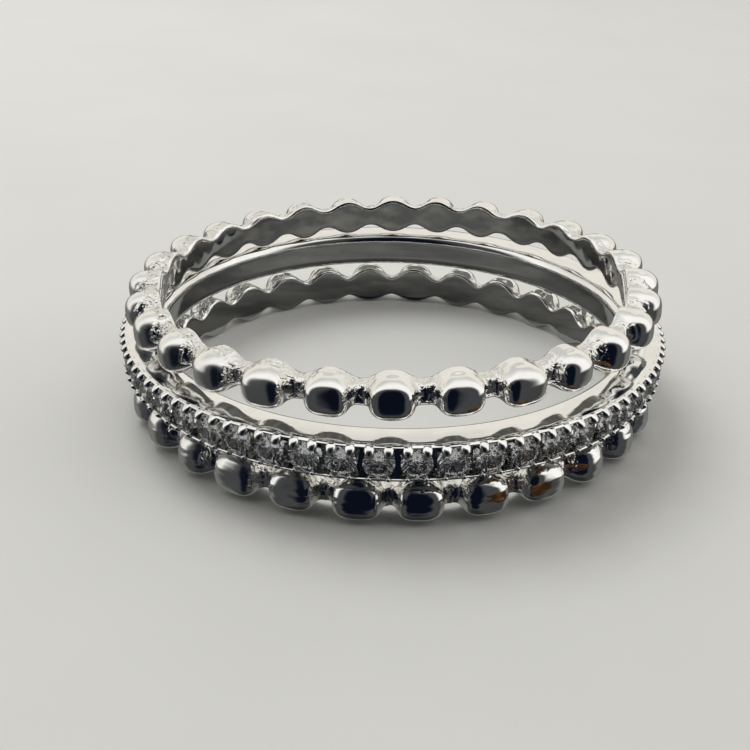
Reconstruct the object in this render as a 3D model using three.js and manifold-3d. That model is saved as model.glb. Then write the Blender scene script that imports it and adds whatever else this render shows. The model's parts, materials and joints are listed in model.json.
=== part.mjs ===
// Spinner ring: two beaded bands, one on each side of a band set with small stones.
// Millimetres, +Z up. The ring lies on its side: its axis is Z and its lowest beads stand on Z = 0.
// The bands are loose, so the upper one leans a little on the one below it.
import * as THREE from 'three';
import Module from 'manifold-3d';

const wasm = await Module();
wasm.setup();
const { Manifold, Mesh } = wasm;

// ---- Driving dimensions --------------------------------------------------------------------

const BORE_R = 8.675; // inside radius of all three bands, for a finger of 54.5 mm round
const LOWER_GAP = 0.28; // free height under the stone-set band
const UPPER_GAP = 0.35; // the same above it, at the axis
const UPPER_LEAN = { front: 1.15, right: 1.35 }; // degrees that these sides are raised by

const BEADED = {
  beads: 28,
  height: 1.46, // of a bead, along the axis
  depth: 1.32, // of a bead, from the bore outwards
  neckHeight: 0.8, // of the neck between two beads
  neckDepth: 0.62,
};

const LOWER_TURN = 0.51; // turn of each beaded band, as a share of the pitch of its beads
const UPPER_TURN = 0.05;

const STONE_SET = {
  height: 1.4,
  outerR: 10.05, // of the two rims
  edgeRound: 0.38, // softening of both inside edges
  rimHeight: 0.2,
  channelR: 9.7, // floor of the channel that the stones sit in
  stones: 52,
  turn: 0.73, // as a share of the pitch of the stones
};

const STONE = {
  facets: 6,
  girdleR: 0.52,
  tableR: 0.3,
  girdleAt: 9.98, // distance of the girdle from the ring's axis
  tableAt: 10.2,
};

const PRONG = {
  height: 0.18, // along the rim that it stands on
  width: 0.2,
  proud: 0.2, // how far its tip stands out from the rim
};

// One bead from neck to neck. across: place in the bead's pitch, from -0.5 to 0.5.
// Growth from the neck (0) to the bead (1): edge is the height at the bore, crown the height
// further out, and swell the depth.
const BEAD_STATIONS = [
  { across: -0.5, edge: 0.0, crown: 0.0, swell: 0.0 },
  { across: -0.385, edge: 0.12, crown: 0.12, swell: 0.1 },
  { across: -0.3, edge: 0.62, crown: 0.74, swell: 0.74 },
  { across: -0.12, edge: 1.0, crown: 1.0, swell: 1.0 },
  { across: 0.12, edge: 1.0, crown: 1.0, swell: 1.0 },
  { across: 0.3, edge: 0.62, crown: 0.74, swell: 0.74 },
  { across: 0.385, edge: 0.12, crown: 0.12, swell: 0.1 },
];

// The lower half of a bead's section, from the bore outwards; the upper half mirrors it.
// out: share of the depth. down: share of half the height, below the middle.
const HALF_SECTION = [
  { out: 0.0, down: 1.0 },
  { out: 0.45, down: 1.0 },
  { out: 0.82, down: 0.74 },
  { out: 0.99, down: 0.26 },
];

// ---- Heights of the bands ------------------------------------------------------------------

const middleZ = BEADED.height + LOWER_GAP + STONE_SET.height / 2;
const upperZ = middleZ + STONE_SET.height / 2 + UPPER_GAP;

// ---- Solids --------------------------------------------------------------------------------

const mix = THREE.MathUtils.lerp;

/** A closed ring through sections of equal length: each has its angle and its [radius, z] points. */
function ringThrough(sections) {
  const size = sections[0].points.length;
  const vertices = [];
  const triangles = [];
  sections.forEach(({ angle, points }, i) => {
    const next = (i + 1) % sections.length;
    points.forEach(([radius, z], j) => {
      const after = (j + 1) % size;
      vertices.push(radius * Math.cos(angle), radius * Math.sin(angle), z);
      const [a, b, c, d] = [i * size + j, next * size + j, next * size + after, i * size + after];
      triangles.push(a, b, c, a, c, d);
    });
  });
  return new Manifold(new Mesh({
    numProp: 3,
    vertProperties: new Float32Array(vertices),
    triVerts: new Uint32Array(triangles),
  }));
}

/** The outline of a beaded band's section at one station of a bead. */
function beadSection({ edge, crown, swell }) {
  const depth = mix(BEADED.neckDepth, BEADED.depth, swell);
  const lowerHalf = HALF_SECTION.map(({ out, down }) => {
    const height = mix(BEADED.neckHeight, BEADED.height, out === 0 ? edge : crown);
    return [BORE_R + out * depth, (BEADED.height - down * height) / 2];
  });
  const upperHalf = lowerHalf.map(([radius, z]) => [radius, BEADED.height - z]).reverse();
  return [...lowerHalf, ...upperHalf];
}

/** Beads that grow out of a narrow band, from Z = 0 upwards. turn: share of a pitch turned by. */
function beadedBand(turn) {
  const pitch = (2 * Math.PI) / BEADED.beads;
  const sections = [];
  for (let bead = 0; bead < BEADED.beads; bead += 1) {
    for (const station of BEAD_STATIONS) {
      const angle = (bead + station.across + turn) * pitch;
      sections.push({ angle, points: beadSection(station) });
    }
  }
  return ringThrough(sections);
}

/** The plain ring under the stones: two rims, a channel between them and softened inside edges. */
function channelRing() {
  const top = STONE_SET.height / 2;
  const upperHalf = [
    [STONE_SET.channelR, top - STONE_SET.rimHeight],
    [STONE_SET.outerR, top - STONE_SET.rimHeight],
    [STONE_SET.outerR, top],
    [BORE_R + STONE_SET.edgeRound, top],
    [BORE_R, top - STONE_SET.edgeRound],
  ];
  const lowerHalf = upperHalf.map(([radius, z]) => [radius, -z]).reverse();
  const sections = [];
  for (let i = 0; i < STONE_SET.stones; i += 1) {
    const angle = ((i + 0.5 + STONE_SET.turn) * 2 * Math.PI) / STONE_SET.stones;
    sections.push({ angle, points: [...lowerHalf, ...upperHalf] });
  }
  return ringThrough(sections);
}

/** One stone at angle 0, its table facing outwards and its base sunk in the channel's floor. */
function stone() {
  const base = STONE_SET.channelR - 0.1;
  const cornersAt = (distance, radius) => {
    const corners = [];
    for (let i = 0; i < STONE.facets; i += 1) {
      const angle = (i * 2 * Math.PI) / STONE.facets;
      corners.push([distance, radius * Math.cos(angle), radius * Math.sin(angle)]);
    }
    return corners;
  };
  return Manifold.hull([
    ...cornersAt(base, STONE.girdleR),
    ...cornersAt(STONE.girdleAt, STONE.girdleR),
    ...cornersAt(STONE.tableAt, STONE.tableR),
  ]);
}

/** One prong at angle 0: a small pyramid on the outside of the upper or the lower rim. */
function prong(upper) {
  const sign = upper ? 1 : -1;
  const root = STONE_SET.outerR - 0.05;
  const middle = sign * (STONE_SET.height / 2 - STONE_SET.rimHeight / 2);
  const corners = [[STONE_SET.outerR + PRONG.proud, 0, middle]];
  for (const y of [-PRONG.width / 2, PRONG.width / 2]) {
    for (const z of [-PRONG.height / 2, PRONG.height / 2]) {
      corners.push([root, y, middle + z]);
    }
  }
  return Manifold.hull(corners);
}

/** The band with its stones and prongs, joined into one solid. Each stone has four prongs. */
function stoneSetBand() {
  const step = 360 / STONE_SET.stones;
  const pieces = [channelRing()];
  const gem = stone();
  const prongs = [prong(true), prong(false)];
  for (let i = 0; i < STONE_SET.stones; i += 1) {
    const place = i + STONE_SET.turn;
    pieces.push(gem.rotate([0, 0, place * step]));
    for (const side of [-0.25, 0.25]) {
      prongs.forEach((piece) => pieces.push(piece.rotate([0, 0, (place + side) * step])));
    }
  }
  return Manifold.union(pieces);
}

// ---- Scene ---------------------------------------------------------------------------------

/** A named mesh of a solid, flat shaded, at a height on the ring's axis. */
function bandMesh(name, solid, height, material) {
  const { vertProperties, triVerts } = solid.getMesh();
  const geometry = new THREE.BufferGeometry();
  geometry.setAttribute('position', new THREE.Float32BufferAttribute(vertProperties, 3));
  geometry.setIndex([...triVerts]);
  geometry.computeVertexNormals();
  const mesh = new THREE.Mesh(geometry, material);
  mesh.name = name;
  mesh.position.z = height;
  return mesh;
}

const polishedSilver = () => new THREE.MeshStandardMaterial({
  color: 0xe6e5e1, metalness: 1, roughness: 0.12, flatShading: true,
});
const stoneSetSilver = () => new THREE.MeshStandardMaterial({
  color: 0xd4d5d6, metalness: 0.9, roughness: 0.18, flatShading: true,
});

const lowerBand = bandMesh('lower_beaded_band', beadedBand(LOWER_TURN), 0, polishedSilver());
const stoneBand = bandMesh('stone_set_band', stoneSetBand(), middleZ, stoneSetSilver());
const upperBand = bandMesh('upper_beaded_band', beadedBand(UPPER_TURN), upperZ, polishedSilver());
upperBand.rotation.set(
  -THREE.MathUtils.degToRad(UPPER_LEAN.front),
  -THREE.MathUtils.degToRad(UPPER_LEAN.right),
  0,
);

const ring = new THREE.Group();
ring.add(lowerBand, stoneBand, upperBand);

export default ring;
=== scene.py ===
"""Looks of a spinner ring: two cast beaded bands and a stone-set band between them.

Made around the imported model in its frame, in metres, with +Z along the ring's axis.
"""
import json
import math

import bmesh
import bpy
import numpy as np
from mathutils import Matrix, Vector, noise


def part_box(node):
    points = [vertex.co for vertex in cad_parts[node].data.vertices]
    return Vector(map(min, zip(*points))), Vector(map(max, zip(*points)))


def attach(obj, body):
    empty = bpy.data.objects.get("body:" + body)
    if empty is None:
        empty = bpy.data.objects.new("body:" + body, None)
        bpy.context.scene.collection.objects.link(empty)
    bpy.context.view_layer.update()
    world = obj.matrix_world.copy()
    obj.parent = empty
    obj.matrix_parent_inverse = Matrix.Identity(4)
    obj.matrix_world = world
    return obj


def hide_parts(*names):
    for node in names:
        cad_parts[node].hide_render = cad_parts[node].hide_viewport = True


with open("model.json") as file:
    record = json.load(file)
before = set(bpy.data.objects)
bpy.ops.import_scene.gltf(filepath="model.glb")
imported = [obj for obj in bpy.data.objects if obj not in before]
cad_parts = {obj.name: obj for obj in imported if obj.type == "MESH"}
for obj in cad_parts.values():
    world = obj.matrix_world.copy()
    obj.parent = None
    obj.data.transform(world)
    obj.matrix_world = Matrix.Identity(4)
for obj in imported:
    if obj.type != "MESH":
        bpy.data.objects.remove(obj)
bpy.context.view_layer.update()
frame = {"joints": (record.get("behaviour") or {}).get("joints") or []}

MM = 0.001
TAU = 2 * math.pi

# ---- Sizes, in metres: heights come from the frame --------------------------------------------

BORE_R = 8.675 * MM
BEADS = 28
STONES = 52

LOWER_LOW, LOWER_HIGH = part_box("lower_beaded_band")
STONE_LOW, STONE_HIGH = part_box("stone_set_band")

# A beaded band: round beads that are joined by narrower necks, the same above and below.
BEAD_HEIGHT = LOWER_HIGH[2] - LOWER_LOW[2]
BEAD_DEPTH = 1.32 * MM
BEAD_HALF_WIDTH = 0.75 * MM
BEAD_STRAIGHT = 0.25 * MM  # how far out from the bore a bead's section runs straight
NECK_HEIGHT = 0.80 * MM
NECK_DEPTH = 0.62 * MM
FILLET_IN = 0.34 * MM  # where a bead meets the necks, at the bore
FILLET_OUT = 0.18 * MM  # and further out
FILLET_RANGE = (0.15 * MM, 0.6 * MM)  # out from the bore: the one changes to the other here
INNER_EDGE = 0.10 * MM  # rounding of the edges at the bore
MEAN_R = BORE_R + BEAD_DEPTH / 2
PITCH = TAU * MEAN_R / BEADS  # from bead to bead

# How the two beaded bands differ: the turn of their first bead as a share of the pitch, the seed
# of what is random, the width of the beads, how far they reach up into the gap above them, and
# the strength of the grain and of the streaks in the polish.
UPPER_BAND = {
    "turn": 0.05, "seed": 11, "widened": 1.0, "raised": 0.0, "grain": 1.0, "streaks": 0.12,
}
LOWER_BAND = {
    "turn": 0.51, "seed": 23, "widened": 1.08, "raised": 0.13 * MM, "grain": 0.5, "streaks": 0.9,
}

# The stone-set band: two rims, and stones in a channel between them.
SET_HEIGHT = STONE_HIGH[2] - STONE_LOW[2]
SET_MID_Z = (STONE_HIGH[2] + STONE_LOW[2]) / 2
RIM_R = 10.05 * MM
SEAT_R = 9.45 * MM  # floor of the channel
GIRDLE_AT = 9.98 * MM
STONE_R = 0.53 * MM
STONE_TURN = 0.73  # as a share of the pitch of the stones


# ---- Meshes ----------------------------------------------------------------------------------

def make_object(name, vertices, faces, material, smooth=True):
    """A mesh object with one material, in the scene."""
    mesh = bpy.data.meshes.new(name)
    mesh.from_pydata([tuple(v) for v in vertices], [], [tuple(f) for f in faces])
    mesh.polygons.foreach_set("use_smooth", [smooth] * len(mesh.polygons))
    mesh.materials.append(material)
    mesh.update()
    obj = bpy.data.objects.new(name, mesh)
    bpy.context.scene.collection.objects.link(obj)
    return obj


def loop_faces(rows, columns):
    """Quads of a grid that closes on itself both ways."""
    faces = []
    for i in range(rows):
        k = (i + 1) % rows
        for j in range(columns):
            m = (j + 1) % columns
            faces.append((i * columns + j, k * columns + j, k * columns + m, i * columns + m))
    return faces


def revolve(profile, steps):
    """Vertices and faces of a closed profile of (radius, z) turned about the axis."""
    angles = np.arange(steps) * TAU / steps
    radius = np.array([p[0] for p in profile])
    height = np.array([p[1] for p in profile])
    x = np.cos(angles)[:, None] * radius
    y = np.sin(angles)[:, None] * radius
    z = np.broadcast_to(height, x.shape)
    return np.stack([x, y, z], axis=-1).reshape(-1, 3), loop_faces(steps, len(profile))


SAME_FACE = 0.005  # radians: faces that turn less than this are joined


def convex(points, bevel=0.0):
    """Vertices and faces of the convex hull of the points, its edges cut off by the bevel."""
    bm = bmesh.new()
    for point in points:
        bm.verts.new(point)
    bmesh.ops.convex_hull(bm, input=bm.verts)
    bmesh.ops.dissolve_limit(bm, angle_limit=SAME_FACE, verts=bm.verts, edges=bm.edges)
    if bevel:
        bmesh.ops.bevel(bm, geom=bm.edges[:], offset=bevel, segments=1, affect="EDGES")
    bm.verts.index_update()
    vertices = [tuple(v.co) for v in bm.verts]
    faces = [tuple(v.index for v in f.verts) for f in bm.faces]
    bm.free()
    return vertices, faces


def around(vertices, faces, count, place):
    """Copies of a small mesh round the ring: place(i) gives each copy's matrix."""
    all_vertices, all_faces = [], []
    for i in range(count):
        matrix = place(i)
        start = len(all_vertices)
        all_vertices += [tuple(matrix @ Vector(v)) for v in vertices]
        all_faces += [tuple(start + k for k in f) for f in faces]
    return all_vertices, all_faces


def ramp(value, low, high):
    """0 below low, 1 above high, smooth between."""
    share = np.clip((value - low) / (high - low), 0, 1)
    return share * share * (3 - 2 * share)


# ---- Beaded bands ----------------------------------------------------------------------------

CORE_OUT = 0.28 * MM  # every section is a curve about this distance from the bore
SIDE_POWER = 2.15  # squareness of a bead seen from outside
PLAN_ROUND = 2.15  # and seen along the axis: most beads
PLAN_FLAT = 4.0  # and the few at the front, which have flatter faces
SECTION_POWER = 2.8
NECK_POWER = 3.5
BEAD_REACH = 1.10 * BEAD_HALF_WIDTH  # the close stations go a little past a bead's sides
BEAD_STEPS = 30
NECK_STEPS = 7
SECTION_STEPS = 80
RAY_SQUARENESS = 0.7  # spreads the rays evenly round a squarish section
FARTHEST = 2 * MM  # from the core to beyond any surface
HALVINGS = 20
TINY = 1e-9  # keeps a division off zero


def smooth_min(a, b, soft):
    """The smaller of two fields, blended where they are close to each other."""
    share = np.clip(1 - np.abs(a - b) / soft, 0, 1)
    return np.minimum(a, b) - share * share * soft / 4


def smooth_max(a, b, soft):
    """The larger of two fields, blended in the same way."""
    return -smooth_min(-a, -b, soft)


def power(value, exponent):
    """Signed power, for superellipses."""
    return np.sign(value) * np.abs(value) ** exponent


def band_field(along, out, up, bead):
    """Rough distance from the surface: along the pitch, out from the bore, up from the middle."""
    past = np.maximum(out - BEAD_STRAIGHT, 0) / (BEAD_DEPTH * bead["deep"] - BEAD_STRAIGHT)
    forward = past ** SECTION_POWER
    reach = BEAD_HEIGHT / 2 * bead["tall"] + np.where(up > 0, bead["raised"], 0)
    total = forward + np.abs(up / reach) ** SECTION_POWER
    aside = np.abs((along - bead["shift"]) / (BEAD_HALF_WIDTH * bead["wide"]))
    corner = SIDE_POWER + (bead["plan"] - SIDE_POWER) * forward / (total + TINY)
    norm = (aside ** corner + total ** (corner / SECTION_POWER)) ** (1 / corner)
    ball = (norm - 1) * BEAD_HEIGHT / 2
    half = NECK_HEIGHT / 2
    neck_norm = (np.abs(out / NECK_DEPTH) ** NECK_POWER
                 + np.abs(up / half) ** NECK_POWER) ** (1 / NECK_POWER)
    neck = (neck_norm - 1) * half
    fillet = FILLET_IN + (FILLET_OUT - FILLET_IN) * ramp(out, *FILLET_RANGE)
    return smooth_max(smooth_min(ball, neck, fillet), -out, INNER_EDGE)


def bead_stations():
    """Places along one pitch, in metres, close together where a bead's sides are steep."""
    turn = (np.arange(BEAD_STEPS) + 0.5) / BEAD_STEPS * math.pi - math.pi / 2
    on_bead = np.sin(turn) * BEAD_REACH
    share = (np.arange(NECK_STEPS) + 0.5) / NECK_STEPS
    beside = BEAD_REACH + share * (PITCH / 2 - BEAD_REACH)
    return np.concatenate([-beside[::-1], on_bead, beside])


def section_rays():
    """Directions from the core to points spread round a bead's section."""
    turn = np.arange(SECTION_STEPS) / SECTION_STEPS * TAU
    out = BEAD_DEPTH / 2 * (1 + power(np.cos(turn), RAY_SQUARENESS)) - CORE_OUT
    up = BEAD_HEIGHT / 2 * power(np.sin(turn), RAY_SQUARENESS)
    length = np.hypot(out, up)
    return out / length, up / length


def band_surface(along, ray_out, ray_up, bead):
    """How far each ray goes from the core to the surface, by halving."""
    near = np.zeros((len(along), len(ray_out)))
    far = near + FARTHEST
    for _ in range(HALVINGS):
        middle = (near + far) / 2
        field = band_field(along[:, None], CORE_OUT + middle * ray_out, middle * ray_up, bead)
        near = np.where(field < 0, middle, near)
        far = np.where(field < 0, far, middle)
    return near


# Marks of casting. A range gives where a mark begins and where it is full.
OFF_BORE = (0.04 * MM, 0.14 * MM)  # out from the bore, which is smooth
UPPER_SIDE = (-0.25 * MM, 0.05 * MM)  # up from the band's middle: the lower side is smooth
NECKS = (0.24, 0.35)  # share of the pitch, away from a bead's middle
FLANKS = (0.17, 0.30)  # the sides of a bead next to the necks
FLANKS_END = (0.6 * MM, 0.95 * MM)  # out from the bore
FLANK_SHARE = 0.6  # grain on the flanks, as a share of that on the necks
BEAD_TOP = (0.62, 0.85)  # share of half a bead's height
PANEL_HALF = 0.50 * MM  # the rough panel on top of a bead: half its width
PANEL_FULL = 0.75  # share of that where it is full
PANEL_OUT = 0.56 * MM  # how far from the bore it ends, in a low ridge
PANEL_SOFT = 0.06 * MM
RIDGE_HALF = 0.04 * MM
RIDGE_HEIGHT = 0.02 * MM
DIMPLE_OUT = 0.64 * MM  # the smooth oval dimple: how far from the bore its middle is
DIMPLE_HALF_WIDTH = 0.24 * MM
DIMPLE_HALF_DEPTH = 0.13 * MM
DIMPLE_SIDES = (0.3, 1.3)  # shares of these halves: full inside the one, gone at the other
DIMPLE_DEPTH = 0.085 * MM
GRAIN_DEPTH = 0.048 * MM
PIT_DEPTH = 0.085 * MM
PIT_SIDES = (0.0, 0.16)  # values of the noise
SWELL_DEPTH = 0.03 * MM
HIGHEST = 0.3  # of any mark that stands out, as a share of the distance from the core
WEAKEST = 0.02  # grain and pits weaker than this are left out
NOISE_PER_MM = {"swell": 0.9, "grain": 3.0, "fine_grain": 6.0, "pits": 3.4}
FINE_SHARE = 0.6
PITS_APART = Vector((0, 0, 40))  # keeps the noise of the pits away from that of the grain
BEADS_APART = 7.3  # and that of one bead away from the next


def cast_noise(along, out, up, seed, rough):
    """Swell all over the band, with grain and pits where it is rough."""
    swell = np.zeros(out.shape)
    grain = np.zeros(out.shape)
    pits = np.zeros(out.shape)
    for index in np.ndindex(*out.shape):
        place = Vector((along[index], out[index], up[index])) / MM
        place.x += seed * BEADS_APART
        swell[index] = noise.noise(place * NOISE_PER_MM["swell"])
        if rough[index]:
            coarse = noise.noise(place * NOISE_PER_MM["grain"])
            fine = noise.noise(place * NOISE_PER_MM["fine_grain"])
            grain[index] = coarse + FINE_SHARE * fine
            pits[index] = noise.noise(place * NOISE_PER_MM["pits"] + PITS_APART)
    return swell, grain, ramp(pits, *PIT_SIDES)


def cast_relief(along, out, up, bead):
    """Marks of casting: grains on the necks, and a pitted or dimpled panel on top of each bead."""
    share = np.abs(along) / PITCH
    off_bore = ramp(out, *OFF_BORE)
    upper_side = ramp(up, *UPPER_SIDE)
    necks = ramp(share, *NECKS) * upper_side
    flanks = ramp(share, *FLANKS) * (1 - ramp(out, *FLANKS_END)) * upper_side
    on_top = ramp(up / (BEAD_HEIGHT / 2), *BEAD_TOP)
    on_top = on_top * (1 - ramp(np.abs(along), PANEL_FULL * PANEL_HALF, PANEL_HALF))
    panel = on_top * (1 - ramp(out, PANEL_OUT - PANEL_SOFT, PANEL_OUT))
    ridge = on_top * np.exp(-((out - PANEL_OUT) / RIDGE_HALF) ** 2)
    rough = necks + flanks + panel > WEAKEST
    swell, grain, pits = cast_noise(along, out, up, bead["seed"], rough)
    dimple = np.hypot((along - bead["dimple"]) / DIMPLE_HALF_WIDTH,
                      (out - DIMPLE_OUT) / DIMPLE_HALF_DEPTH)
    dimple = (1 - ramp(dimple, *DIMPLE_SIDES)) * on_top * bead["marked"]
    pits = panel * pits * bead["pitted"] * (1 - dimple)
    cast = off_bore * np.clip(necks + FLANK_SHARE * flanks, 0, 1)
    depth = cast * grain * bead["grain"] * GRAIN_DEPTH
    depth += off_bore * bead["pitted"] * ridge * RIDGE_HEIGHT
    depth -= off_bore * (pits * PIT_DEPTH + dimple * DIMPLE_DEPTH)
    depth += swell * SWELL_DEPTH * (1 - cast) * off_bore
    size = np.hypot(out - CORE_OUT, up)
    depth = np.minimum(depth, HIGHEST * size)
    out = out + (out - CORE_OUT) / size * depth
    up = up + up / size * depth
    return out, up, np.clip(cast + off_bore * panel * bead["pitted"], 0, 1)


# What is drawn at random for each bead, in this order. wide, tall and deep are shares of its
# size, shift and dimple are millimetres along the band, marked and pitted are shares of the marks.
DRAWN = {
    "wide": (0.98, 1.05),
    "tall": (0.97, 1.0),
    "deep": (0.965, 1.0),
    "shift": (-0.05, 0.05),
    "dimple": (-0.12, 0.12),
    "marked": (0.5, 1.0),
    "pitted": (0.6, 1.0),
}
# Where the beads change round the ring, as shares of the way to its left or its front side.
PITTED_LEFT = (0.45, 0.8)
FLAT_FRONT = (0.85, 0.95)
LESS_MARKED = 0.6  # the dimples of the beads on the left lose up to this share


def bead_traits(i, kind, rng):
    """The sizes and marks of one bead, by its place in the ring and by chance."""
    angle = (i + kind["turn"]) * TAU / BEADS
    left = (1 - math.cos(angle)) / 2
    front = float(ramp((1 - math.sin(angle)) / 2, *FLAT_FRONT))
    drawn = {trait: rng.uniform(*span) for trait, span in DRAWN.items()}
    return {
        "angle": angle,
        "wide": drawn["wide"] * kind["widened"],
        "tall": drawn["tall"],
        "raised": kind["raised"],
        "plan": PLAN_ROUND + (PLAN_FLAT - PLAN_ROUND) * front,
        "deep": drawn["deep"],
        "shift": drawn["shift"] * MM,
        "dimple": drawn["dimple"] * MM,
        "marked": drawn["marked"] * (1 - LESS_MARKED * left),
        "pitted": drawn["pitted"] * float(ramp(left, *PITTED_LEFT)),
        "grain": kind["grain"],
        "seed": i + kind["seed"] * BEADS,
    }


def beaded_band(name, kind, material):
    """A cast band of beads about the origin."""
    rng = np.random.default_rng(kind["seed"])
    ray_out, ray_up = section_rays()
    along = bead_stations()
    rows, casts = [], []
    for i in range(BEADS):
        bead = bead_traits(i, kind, rng)
        reach = band_surface(along, ray_out, ray_up, bead)
        place = np.broadcast_to(along[:, None], reach.shape)
        out, up, cast = cast_relief(place, CORE_OUT + reach * ray_out, reach * ray_up, bead)
        angle = bead["angle"] + place / MEAN_R
        radius = BORE_R + out
        rows.append(np.stack([radius * np.cos(angle), radius * np.sin(angle), up], axis=-1))
        casts.append(cast)
    vertices = np.concatenate(rows).reshape(-1, 3)
    band = make_object(name, vertices, loop_faces(BEADS * len(along), SECTION_STEPS), material)
    attribute = band.data.attributes.new("cast", "FLOAT", "POINT")
    attribute.data.foreach_set("value", np.concatenate(casts).ravel())
    attribute = band.data.attributes.new("band_place", "FLOAT_VECTOR", "POINT")
    attribute.data.foreach_set("vector", (vertices / MM).ravel())
    return band


def place_band(band, joint_name):
    """Moves a band made about the origin to stand on its joint's place, along the joint's axis."""
    joint = next(j for j in frame["joints"] if j["name"] == joint_name)
    axis = Vector(joint["axis"]).normalized()
    lean = Vector((0, 0, 1)).rotation_difference(axis).to_matrix().to_4x4()
    raised = Matrix.Translation((0, 0, BEAD_HEIGHT / 2))
    band.data.transform(Matrix.Translation(joint["pos_m"]) @ lean @ raised)


# ---- Stone-set band --------------------------------------------------------------------------

EDGE_ROUND = 0.36 * MM  # softening of both inside edges
EDGE_STEPS = 8
CHANNEL_HALF = 0.25 * MM  # half the height of the channel's floor
FACE_FALL = 0.06 * MM  # how much the flat faces fall away towards the rims
FACE_FLAT_R = 9.22 * MM
FACE_SHARES = (0.86, 0.6, 0.3, 0.12)  # points on the falling stretch, from the rim inwards

# A rim from the channel to its flat face, in millimetres: how far in from the outer radius and
# how far below the face. It ends in a narrow bevel.
RIM = [
    {"in": 0.43, "down": 0.22},
    {"in": 0.10, "down": 0.12},
    {"in": 0.01, "down": 0.09},
    {"in": 0.0, "down": 0.075},
    {"in": 0.0, "down": 0.045},
    {"in": 0.01, "down": 0.035},
    {"in": 0.084, "down": 0.004},
    {"in": 0.0945, "down": 0.0},
]

# Short straight stretches next to the curved ones, so that the shading of flats stays flat.
BESIDE_FALL = 0.06 * MM
BESIDE_ROUND = 0.07 * MM
BESIDE_BORE = 0.05 * MM


def setting_profile():
    """Closed (radius, z) outline: rims, the channel under the stones, softened inside edges."""
    top = SET_HEIGHT / 2
    upper = [(SEAT_R, CHANNEL_HALF)]
    for point in RIM:
        upper.append((RIM_R - point["in"] * MM, top - FACE_FALL - point["down"] * MM))
    for share in FACE_SHARES:
        upper.append((FACE_FLAT_R + share * (RIM_R - FACE_FLAT_R), top - share * FACE_FALL))
    upper.append((FACE_FLAT_R - BESIDE_FALL, top))
    upper.append((BORE_R + EDGE_ROUND + BESIDE_ROUND, top))
    for i in range(EDGE_STEPS + 1):
        turn = math.pi / 2 * i / EDGE_STEPS
        upper.append((BORE_R + EDGE_ROUND * (1 - math.sin(turn)),
                      top - EDGE_ROUND * (1 - math.cos(turn))))
    upper.append((BORE_R, top - EDGE_ROUND - BESIDE_BORE))
    lower = [(r, -z) for r, z in reversed(upper)]
    return [(r, SET_MID_Z + z) for r, z in lower + upper]


# Rings of corners of a round brilliant: how many, how far from its axis as a share of its
# radius, how far out along its axis as a share of its diameter, and turn in steps.
BRILLIANT = [
    {"corners": 8, "radius": 0.56, "out": 0.16, "turn": 0.5},
    {"corners": 8, "radius": 0.80, "out": 0.095, "turn": 0.0},
    {"corners": 16, "radius": 1.00, "out": 0.012, "turn": 0.5},
    {"corners": 16, "radius": 1.00, "out": -0.012, "turn": 0.5},
    {"corners": 8, "radius": 0.24, "out": -0.335, "turn": 0.0},
    {"corners": 1, "radius": 0.0, "out": -0.43, "turn": 0.0},
]
FACET_BEVEL = 0.014 * MM


def brilliant():
    """One round brilliant at angle 0, its table facing +X: vertices and faces."""
    corners = []
    for ring in BRILLIANT:
        for i in range(ring["corners"]):
            angle = (i + ring["turn"]) * TAU / ring["corners"]
            radius = ring["radius"] * STONE_R
            corners.append((ring["out"] * 2 * STONE_R, radius * math.cos(angle),
                            radius * math.sin(angle)))
    return convex(corners, FACET_BEVEL)


# Sections of a prong from the face downwards, in millimetres: how far down, how wide, how far
# out from the rim.
PRONG = [
    {"down": 0.00, "width": 0.26, "out": -0.05},
    {"down": 0.03, "width": 0.31, "out": 0.02},
    {"down": 0.08, "width": 0.35, "out": 0.10},
    {"down": 0.13, "width": 0.37, "out": 0.16},
    {"down": 0.18, "width": 0.37, "out": 0.195},
    {"down": 0.23, "width": 0.35, "out": 0.205},
    {"down": 0.28, "width": 0.30, "out": 0.185},
    {"down": 0.32, "width": 0.23, "out": 0.13},
    {"down": 0.35, "width": 0.12, "out": 0.01},
]
PRONG_STEPS = 10
PRONG_SQUARENESS = 0.65  # power of its round section: 1 is round, less is squarer
PRONG_ROOT = 0.12 * MM  # how deep its back is sunk in the rim
PRONG_SIDE = 0.25  # from the middle of a stone, as a share of the pitch of the stones
LOWER_PRONG = 0.6  # size of the lower rim's prongs, as a share of the upper rim's


def prong(size):
    """One prong at angle 0 on the upper rim: a rounded head with a tail that holds the stone."""
    vertices, faces = [], []
    root = RIM_R - PRONG_ROOT
    top = SET_HEIGHT / 2 - FACE_FALL
    for section in PRONG:
        for k in range(PRONG_STEPS):
            turn = math.pi * k / (PRONG_STEPS - 1)
            reach = RIM_R + section["out"] * size * MM - root
            vertices.append((root + reach * math.sin(turn) ** PRONG_SQUARENESS,
                             section["width"] / 2 * size * MM * math.cos(turn),
                             top - section["down"] * size * MM))
    for i in range(len(PRONG) - 1):
        for k in range(PRONG_STEPS):
            a = i * PRONG_STEPS + k
            b = i * PRONG_STEPS + (k + 1) % PRONG_STEPS
            faces.append((a, a + PRONG_STEPS, b + PRONG_STEPS, b))
    faces.append(tuple(range(PRONG_STEPS)))
    last = (len(PRONG) - 1) * PRONG_STEPS
    faces.append(tuple(reversed(range(last, last + PRONG_STEPS))))
    return vertices, faces


# The low wall between two stones, in millimetres: half its width at its foot and at its top.
BRIDGE = [
    {"radius": 9.40, "half_width": 0.14},
    {"radius": 9.60, "half_width": 0.10},
]
BRIDGE_HALF_HEIGHT = 0.5 * MM


def bridge():
    """The low wall between two stones, at angle 0, from rim to rim."""
    corners = []
    for z in (-BRIDGE_HALF_HEIGHT, BRIDGE_HALF_HEIGHT):
        for row in BRIDGE:
            for side in (-row["half_width"], row["half_width"]):
                corners.append((row["radius"] * MM, side * MM, z))
    return convex(corners)


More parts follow.
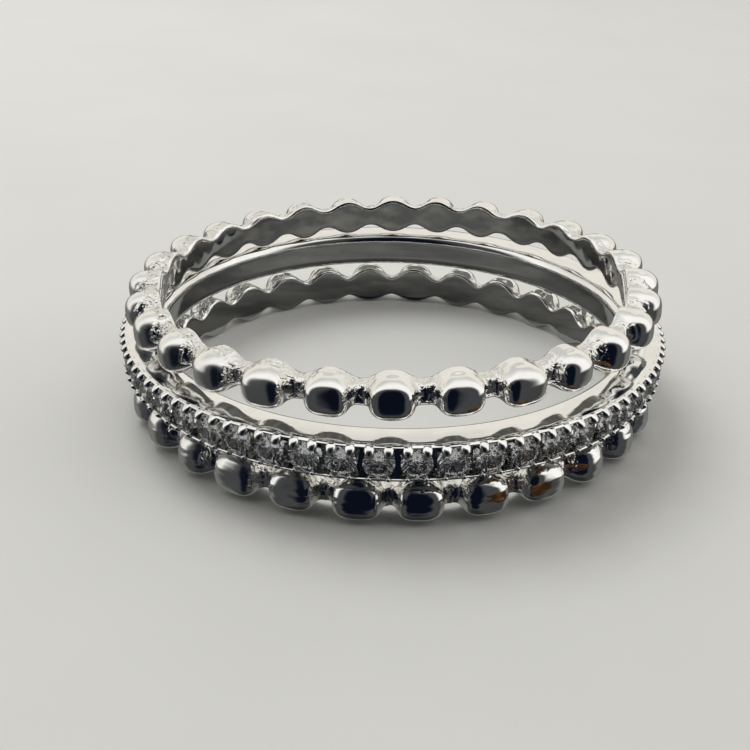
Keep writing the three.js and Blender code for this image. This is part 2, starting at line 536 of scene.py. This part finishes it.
def stone_set_band(silver, stone_material):
    """The setting, its stones and its prongs."""
    step = TAU / STONES

    def at_stone(i):
        return Matrix.Rotation((i + STONE_TURN) * step, 4, "Z")

    def stone_place(i):
        return at_stone(i) @ Matrix.Translation((GIRDLE_AT, 0, SET_MID_Z))

    def bridge_place(i):
        return at_stone(i + 0.5) @ Matrix.Translation((0, 0, SET_MID_Z))

    def prong_place(i):
        stone, corner = divmod(i, 2)
        side = -PRONG_SIDE if corner else PRONG_SIDE
        return at_stone(stone + side) @ Matrix.Translation((0, 0, SET_MID_Z))

    def lower_prong_place(i):
        return prong_place(i) @ Matrix.Rotation(math.pi, 4, "X")

    setting = make_object("setting", *revolve(setting_profile(), STONES * 10), silver)
    stones = make_object("stones", *around(*brilliant(), STONES, stone_place), stone_material,
                         smooth=False)
    upper_prongs = make_object("upper_prongs",
                               *around(*prong(1), STONES * 2, prong_place), silver)
    lower_prongs = make_object("lower_prongs",
                               *around(*prong(LOWER_PRONG), STONES * 2, lower_prong_place), silver)
    bridges = make_object("bridges", *around(*bridge(), STONES, bridge_place), silver,
                          smooth=False)
    return setting, stones, upper_prongs, lower_prongs, bridges


# ---- Materials -------------------------------------------------------------------------------

class Nodes:
    """Short ways to add and link shader nodes."""

    def __init__(self, tree):
        self.tree = tree

    def add(self, kind, **settings):
        node = self.tree.nodes.new(kind)
        for key, value in settings.items():
            setattr(node, key, value)
        return node

    def link(self, value, socket):
        if isinstance(value, bpy.types.NodeSocket):
            self.tree.links.new(value, socket)
        else:
            socket.default_value = value

    def math(self, operation, a, b=0.0):
        node = self.add("ShaderNodeMath", operation=operation)
        self.link(a, node.inputs[0])
        self.link(b, node.inputs[1])
        return node.outputs[0]

    def dot(self, a, b):
        node = self.add("ShaderNodeVectorMath", operation="DOT_PRODUCT")
        self.link(a, node.inputs[0])
        self.link(b, node.inputs[1])
        return node.outputs["Value"]

    def scaled(self, vector, scale):
        node = self.add("ShaderNodeVectorMath", operation="MULTIPLY")
        self.link(vector, node.inputs[0])
        self.link(scale, node.inputs[1])
        return node.outputs["Vector"]

    def mix(self, share, a, b):
        node = self.add("ShaderNodeMix", data_type="RGBA")
        self.link(share, node.inputs["Factor"])
        self.link(a, node.inputs["A"])
        self.link(b, node.inputs["B"])
        return node.outputs["Result"]

    def between(self, value, from_low, from_high, to_low=0.0, to_high=1.0):
        """Maps a range smoothly to another, and clamps it."""
        node = self.add("ShaderNodeMapRange", interpolation_type="SMOOTHSTEP")
        self.link(value, node.inputs["Value"])
        node.inputs["From Min"].default_value = from_low
        node.inputs["From Max"].default_value = from_high
        node.inputs["To Min"].default_value = to_low
        node.inputs["To Max"].default_value = to_high
        return node.outputs["Result"]

    def noise(self, vector, scale, detail=2.0, roughness=0.5):
        node = self.add("ShaderNodeTexNoise")
        self.link(vector, node.inputs["Vector"])
        node.inputs["Scale"].default_value = scale
        node.inputs["Detail"].default_value = detail
        node.inputs["Roughness"].default_value = roughness
        return node.outputs["Fac"]

    def attribute(self, name, output):
        return self.add("ShaderNodeAttribute", attribute_name=name).outputs[output]

    def place_mm(self):
        """Place in the object, in millimetres."""
        place = self.add("ShaderNodeTexCoord").outputs["Object"]
        return self.scaled(place, (1 / MM, 1 / MM, 1 / MM))

    def parts(self, vector):
        """The three parts of a vector."""
        node = self.add("ShaderNodeSeparateXYZ")
        self.link(vector, node.inputs[0])
        return node.outputs

    def round_the_ring(self, place):
        """Millimetres round the ring, out from its axis and up, from a place in the band."""
        x, y, z = self.parts(place)
        angle = self.math("ARCTAN2", y, x)
        radius = self.math("SQRT", self.math("ADD", self.math("MULTIPLY", x, x),
                                             self.math("MULTIPLY", y, y)))
        join = self.add("ShaderNodeCombineXYZ")
        self.link(self.math("MULTIPLY", angle, MEAN_R / MM), join.inputs[0])
        self.link(radius, join.inputs[1])
        self.link(z, join.inputs[2])
        return join.outputs[0]

    def bump(self, height, strength, distance, normal=None):
        node = self.add("ShaderNodeBump")
        node.inputs["Strength"].default_value = strength
        node.inputs["Distance"].default_value = distance
        self.link(height, node.inputs["Height"])
        if normal is not None:
            self.link(normal, node.inputs["Normal"])
        return node.outputs["Normal"]


def new_material(name):
    """A node material: its shader and a helper for its nodes."""
    material = bpy.data.materials.new(name)
    material.use_nodes = True
    tree = material.node_tree
    return material, tree.nodes["Principled BSDF"], Nodes(tree)


def polish_lines(nodes, place):
    """Height of fine lines that run round the ring, left by polishing."""
    round_ring = nodes.round_the_ring(place)
    lines = nodes.noise(nodes.scaled(round_ring, (0.12, 4.0, 4.0)), 1.0,
                        detail=4.0, roughness=0.65)
    cross = nodes.noise(nodes.scaled(round_ring, (9.0, 1.2, 2.0)), 1.0,
                        detail=2.0, roughness=0.6)
    return nodes.math("ADD", lines, nodes.math("MULTIPLY", cross, 0.5))


# Pairs of colours that clouds mix, and the colour of cast relief.
CAST_SILVER = ((0.90, 0.89, 0.87, 1), (0.95, 0.945, 0.93, 1))
CAST_RELIEF = (0.84, 0.83, 0.80, 1)
SET_SILVER = ((0.88, 0.875, 0.86, 1), (0.94, 0.935, 0.92, 1))
CLEAR_STONE = ((0.90, 0.91, 0.92, 1), (0.74, 0.75, 0.76, 1))
CLOUDS = (0.35, 0.65)  # values of the noise at the clouds' edges
SMEARS = (0.4, 0.7)

OUTSIDE = (8.9, 9.3)  # millimetres from the axis: the outside of a band begins here
LEFT_END = -7.0  # millimetres from the axis: the beads further left are rough in full
WORN_ROUGHNESS = 0.20  # added to the polish there
LEFT_GRAINS = 2.6  # how much stronger the grains are there


def cast_silver(name, streaks):
    """Polished silver of a beaded band, darker where the cast relief is and rougher on the left."""
    material, bsdf, nodes = new_material(name)
    cast = nodes.attribute("cast", "Fac")
    place = nodes.attribute("band_place", "Vector")
    across = nodes.parts(place)[0]
    outside = nodes.between(nodes.parts(nodes.round_the_ring(place))[1], *OUTSIDE)
    clouds = nodes.noise(place, 1.3, detail=3.0)
    bright = nodes.mix(nodes.between(clouds, *CLOUDS), *CAST_SILVER)
    nodes.link(nodes.mix(nodes.between(cast, 0.25, 1.0), bright, CAST_RELIEF),
               bsdf.inputs["Base Color"])
    bsdf.inputs["Metallic"].default_value = 1.0
    smears = nodes.noise(place, 3.5, detail=4.0, roughness=0.6)
    smears = nodes.between(smears, *SMEARS, to_low=0.035, to_high=0.085)
    worn = nodes.between(across, LEFT_END, 0.5, to_low=WORN_ROUGHNESS, to_high=0.0)
    worn = nodes.math("MULTIPLY", outside, worn)
    less_on_grain = nodes.between(cast, 0.2, 0.7, to_low=1.0, to_high=0.25)
    worn = nodes.math("MULTIPLY", worn, less_on_grain)
    nodes.link(nodes.math("ADD", smears, worn), bsdf.inputs["Roughness"])
    rooms = nodes.between(nodes.noise(place, 3.6), 0.44, 0.56)
    grains = nodes.math("ADD", rooms, nodes.math("MULTIPLY", nodes.noise(place, 9.0), 0.7))
    grains = nodes.math("MULTIPLY", grains, nodes.between(cast, 0.1, 0.7))
    more_on_left = nodes.between(across, LEFT_END, 0.0, to_low=LEFT_GRAINS, to_high=1.0)
    grains = nodes.math("MULTIPLY", grains, more_on_left)
    normal = nodes.bump(grains, strength=1.0, distance=0.015 * MM)
    waves = nodes.noise(nodes.scaled(place, (1.1, 1.1, 4.2)), 1.0, detail=0.5)
    normal = nodes.bump(nodes.math("MULTIPLY", outside, waves), strength=streaks,
                        distance=0.08 * MM, normal=normal)
    normal = nodes.bump(polish_lines(nodes, place), strength=0.35, distance=0.002 * MM,
                        normal=normal)
    nodes.link(normal, bsdf.inputs["Normal"])
    return material


def set_silver():
    """Polished silver of the stone-set band, with fine lines round it and soft smears."""
    material, bsdf, nodes = new_material("setting_silver")
    place = nodes.place_mm()
    clouds = nodes.noise(place, 1.1, detail=3.0)
    nodes.link(nodes.mix(nodes.between(clouds, *CLOUDS), *SET_SILVER),
               bsdf.inputs["Base Color"])
    bsdf.inputs["Metallic"].default_value = 1.0
    smears = nodes.noise(place, 3.0, detail=4.0, roughness=0.6)
    nodes.link(nodes.between(smears, *SMEARS, to_low=0.04, to_high=0.09),
               bsdf.inputs["Roughness"])
    nodes.link(nodes.bump(polish_lines(nodes, place), strength=0.5, distance=0.005 * MM),
               bsdf.inputs["Normal"])
    return material


def clear_stone():
    """Cut zirconia, a little greyed by fine dust and polish marks on its facets."""
    material, bsdf, nodes = new_material("clear_stone")
    dust = nodes.noise(nodes.place_mm(), 5.0, detail=4.0, roughness=0.6)
    nodes.link(nodes.mix(nodes.between(dust, 0.4, 0.65), *CLEAR_STONE), bsdf.inputs["Base Color"])
    nodes.link(nodes.between(dust, *SMEARS, to_low=0.0, to_high=0.05), bsdf.inputs["Roughness"])
    bsdf.inputs["Transmission Weight"].default_value = 0.97
    bsdf.inputs["IOR"].default_value = 2.15
    return material


# ---- Build -----------------------------------------------------------------------------------

upper_silver = cast_silver("upper_silver", UPPER_BAND["streaks"])
upper = beaded_band("upper_beads", UPPER_BAND, upper_silver)
place_band(upper, "upper_spin")
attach(upper, "upper_band")
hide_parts("upper_beaded_band")

lower_silver = cast_silver("lower_silver", LOWER_BAND["streaks"])
lower = beaded_band("lower_beads", LOWER_BAND, lower_silver)
place_band(lower, "lower_spin")
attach(lower, "lower_band")
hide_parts("lower_beaded_band")

setting, stones, *prongs, bridges = stone_set_band(set_silver(), clear_stone())
for piece in (setting, stones, *prongs, bridges):
    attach(piece, "stone_band")
    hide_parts("stone_set_band")


# ---- Stage, light and camera -----------------------------------------------------------------

def direction(azimuth, elevation):
    """Unit vector: azimuth 0 is +Y and 90 is +X, elevation above the horizon, in degrees."""
    a, e = math.radians(azimuth), math.radians(elevation)
    return Vector((math.sin(a) * math.cos(e), math.cos(a) * math.cos(e), math.sin(e)))


FLOOR_HALF = 0.6
FLOOR_GREYS = ((0.70, 0.70, 0.68, 1), (0.76, 0.76, 0.74, 1))


def floor():
    """A plain pale floor, which the polished metal doesn't mirror."""
    material, bsdf, nodes = new_material("pale_floor")
    place = nodes.add("ShaderNodeTexCoord").outputs["Object"]
    nodes.link(nodes.mix(nodes.noise(place, 90.0, detail=3.0), *FLOOR_GREYS),
               bsdf.inputs["Base Color"])
    bsdf.inputs["Roughness"].default_value = 0.9
    square = ((-1, -1), (1, -1), (1, 1), (-1, 1))
    corners = [(x * FLOOR_HALF, y * FLOOR_HALF, 0) for x, y in square]
    obj = make_object("floor", corners, [(0, 1, 2, 3)], material, smooth=False)
    obj.visible_glossy = False


# Round cards that lie just over the floor, which the metal mirrors instead of it: place, radius
# in millimetres, and the two colours of their patches.
CARDS = [
    {"name": "dark_card", "x": 0.0, "y": 0.0, "radius": 8.3,
     "colours": ((0.09, 0.095, 0.094, 1), (0.18, 0.18, 0.17, 1))},
    {"name": "brown_card", "x": 6.1, "y": -10.6, "radius": 1.9,
     "colours": ((0.06, 0.033, 0.02, 1), (0.20, 0.095, 0.04, 1))},
]
CARD_Z = 0.05 * MM
CARD_STEPS = 48


def mirror_card(kind):
    """A round card near the floor, seen in the metal and the stones but not by the camera."""
    material, bsdf, nodes = new_material(kind["name"])
    patches = nodes.noise(nodes.place_mm(), 0.35, detail=3.0, roughness=0.6)
    nodes.link(nodes.mix(nodes.between(patches, 0.4, 0.65), *kind["colours"]),
               bsdf.inputs["Base Color"])
    bsdf.inputs["Roughness"].default_value = 1.0
    bsdf.inputs["Specular IOR Level"].default_value = 0.0
    corners = []
    for i in range(CARD_STEPS):
        turn = i * TAU / CARD_STEPS
        corners.append(((kind["x"] + kind["radius"] * math.cos(turn)) * MM,
                        (kind["y"] + kind["radius"] * math.sin(turn)) * MM, CARD_Z))
    card = make_object(kind["name"], corners, [tuple(range(CARD_STEPS))], material, smooth=False)
    card.visible_camera = False
    card.visible_diffuse = False
    card.visible_shadow = False


ROCK_SHADE = (0.022, 0.023, 0.022, 1)
ALL_ROCK = (-75, -60)  # elevations: below these it is the shade of rock all round
SKY = (1.0, 0.99, 0.955, 1)

# Parts of the studio, each painted over those before it: where its middle is, how far it
# reaches each way, all in degrees, how soft its edge is as a share of that, and its colour.
STUDIO = [
    {"azimuth": -8, "elevation": 10, "wide": 68, "tall": 54, "soft": 0.6,
     "colour": (0.62, 0.62, 0.60, 1)},
    {"azimuth": -4, "elevation": 12, "wide": 80, "tall": 26, "soft": 0.4,
     "colour": (0.84, 0.81, 0.745, 1)},
    {"azimuth": 0, "elevation": -60, "wide": 360, "tall": 52, "soft": 0.25,
     "colour": (0.050, 0.052, 0.050, 1)},
    {"azimuth": 0, "elevation": -30, "wide": 95, "tall": 31, "soft": 0.25,
     "colour": (0.17, 0.175, 0.165, 1)},
    {"azimuth": 184, "elevation": 4, "wide": 68, "tall": 66, "soft": 0.3,
     "colour": (0.055, 0.057, 0.061, 1)},
    {"azimuth": 182, "elevation": 2, "wide": 31, "tall": 58, "soft": 0.5,
     "colour": (0.003, 0.005, 0.011, 1)},
]
ZONE_POWER = 3.0  # squareness of their corners


def world_light():
    """A soft studio all round: pale behind and above, darker in front and below."""
    world = bpy.data.worlds.new("studio")
    bpy.context.scene.world = world
    world.use_nodes = True
    nodes = Nodes(world.node_tree)
    background = world.node_tree.nodes["Background"]
    towards = nodes.add("ShaderNodeTexCoord").outputs["Generated"]
    height = nodes.dot(towards, Vector((0, 0, 1)))
    elevation = nodes.math("DEGREES", nodes.math("ARCSINE", height))
    colour = SKY
    for part in STUDIO:
        ahead = nodes.dot(towards, direction(part["azimuth"], 0))
        aside = nodes.dot(towards, direction(part["azimuth"] + 90, 0))
        turn = nodes.math("DEGREES", nodes.math("ARCTAN2", aside, ahead))
        across = nodes.math("ABSOLUTE", nodes.math("DIVIDE", turn, part["wide"]))
        rise = nodes.math("SUBTRACT", elevation, part["elevation"])
        up = nodes.math("ABSOLUTE", nodes.math("DIVIDE", rise, part["tall"]))
        total = nodes.math("ADD", nodes.math("POWER", across, ZONE_POWER),
                           nodes.math("POWER", up, ZONE_POWER))
        edge = nodes.math("POWER", total, 1 / ZONE_POWER)
        share = nodes.between(edge, 1 - part["soft"] / 2, 1 + part["soft"] / 2, 1.0, 0.0)
        colour = nodes.mix(share, colour, part["colour"])
    colour = nodes.mix(nodes.between(elevation, *ALL_ROCK), ROCK_SHADE, colour)
    nodes.link(colour, background.inputs["Color"])
    background.inputs["Strength"].default_value = 1.0


SOFTBOX = {"place": (-0.06, 0.08, 0.16), "size": 0.10, "watts": 0.12}


def softbox():
    """A round soft light behind the ring that faces it, and that the metal doesn't mirror."""
    data = bpy.data.lights.new("softbox_behind", "AREA")
    data.shape = "DISK"
    data.size = SOFTBOX["size"]
    data.energy = SOFTBOX["watts"]
    lamp = bpy.data.objects.new("softbox_behind", data)
    lamp.location = SOFTBOX["place"]
    lamp.rotation_euler = (-Vector(SOFTBOX["place"])).to_track_quat("-Z", "Y").to_euler()
    lamp.visible_glossy = False
    bpy.context.scene.collection.objects.link(lamp)


# The camera looks at the axis from the front, then turns by these degrees.
CAMERA = {
    "distance": 48.13 * MM,
    "elevation": 23.76,
    "pan": 0.736,
    "tilt": -2.752,
    "roll": -1.28,
    "sensor": 36,  # millimetres, as Blender counts lenses
    "focal_share": 1.682,  # focal length as a share of the sensor's width
    "clip_start": 1 * MM,
}


def camera():
    """The camera, at the photographer's place."""
    data = bpy.data.cameras.new("camera")
    data.sensor_width = CAMERA["sensor"]
    data.lens = CAMERA["focal_share"] * data.sensor_width
    data.clip_start = CAMERA["clip_start"]
    lens = bpy.data.objects.new("camera", data)
    bpy.context.scene.collection.objects.link(lens)
    target = Vector((0, 0, STONE_HIGH[2]))
    place = target + direction(180, CAMERA["elevation"]) * CAMERA["distance"]
    forward = (target - place).normalized()
    right = forward.cross(Vector((0, 0, 1))).normalized()
    up = right.cross(forward)
    turn = (Matrix.Rotation(math.radians(CAMERA["pan"]), 3, up)
            @ Matrix.Rotation(math.radians(CAMERA["tilt"]), 3, right)
            @ Matrix.Rotation(math.radians(CAMERA["roll"]), 3, forward))
    matrix = Matrix((turn @ right, turn @ up, turn @ -forward)).transposed().to_4x4()
    matrix.translation = place
    lens.matrix_world = matrix
    bpy.context.scene.camera = lens


floor()
for kind in CARDS:
    mirror_card(kind)
world_light()
softbox()
camera()
bpy.context.scene.view_settings.view_transform = "Standard"
